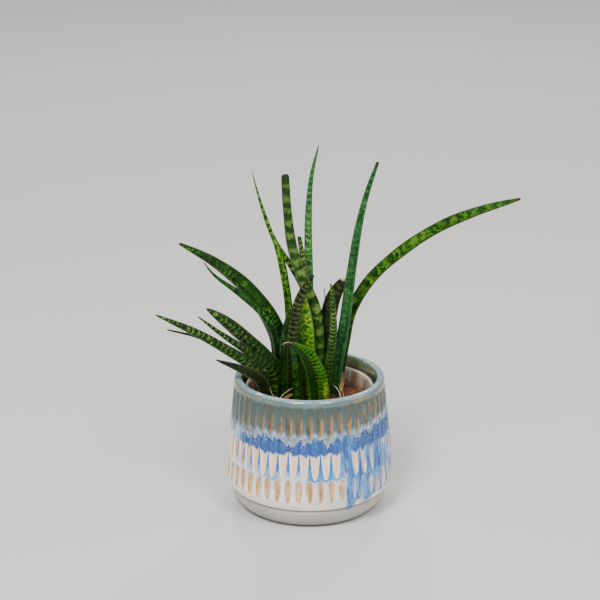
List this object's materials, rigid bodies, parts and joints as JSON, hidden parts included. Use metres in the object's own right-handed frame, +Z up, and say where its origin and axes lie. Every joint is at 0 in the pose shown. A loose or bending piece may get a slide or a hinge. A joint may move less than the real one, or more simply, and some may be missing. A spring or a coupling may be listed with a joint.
{
  "type": "potted snake plant",
  "caption": "Small snake plant with banded channelled leaves, growing in coir in a thin nursery pot that stands inside a fluted ceramic cover pot with a blue and cream running glaze.",
  "frame": {"origin": "centre of the cover pot's flat underside", "axes": "+Z up the pot axis, the front of the plant faces -Y and +X is to its right"},
  "size_m": [0.204, 0.0974, 0.2095],
  "materials": {
    "glazed_ceramic": "gloss",
    "nursery_plastic": "satin",
    "coir": "matte",
    "root": "matte",
    "leaf_banded": "satin",
    "leaf_dark": "satin",
    "leaf_bright": "satin",
    "leaf_blue_green": "satin",
    "dry_sheath": "matte"
  },
  "bodies": {
    "root": {"cover_pot": "glazed_ceramic", "nursery_pot": "nursery_plastic", "soil": "coir", "rootstock": "root", "leaf_front_broad": "leaf_bright", "leaf_front_upright": "leaf_dark", "leaf_front_oval": "leaf_dark", "leaf_front_chevron": "leaf_banded", "leaf_centre_bright": "leaf_bright", "leaf_centre_banded": "leaf_banded", "leaf_small_blunt": "leaf_bright", "leaf_tall_needle": "leaf_blue_green", "leaf_back_needle": "leaf_banded", "leaf_back_bright": "leaf_bright", "leaf_right_dark": "leaf_dark", "leaf_right_chevron": "leaf_banded", "leaf_right_spike": "leaf_banded", "leaf_right_upright": "leaf_blue_green", "leaf_right_long": "leaf_banded", "leaf_left_arch": "leaf_dark", "leaf_left_under": "leaf_blue_green", "leaf_left_chevron": "leaf_banded", "leaf_left_slender": "leaf_banded", "leaf_left_long": "leaf_banded", "leaf_left_thin": "leaf_dark", "leaf_left_low": "leaf_dark", "leaf_left_spike": "leaf_dark", "dry_sheath_left": "dry_sheath", "dry_sheath_right": "dry_sheath"}
  },
  "joints": []
}
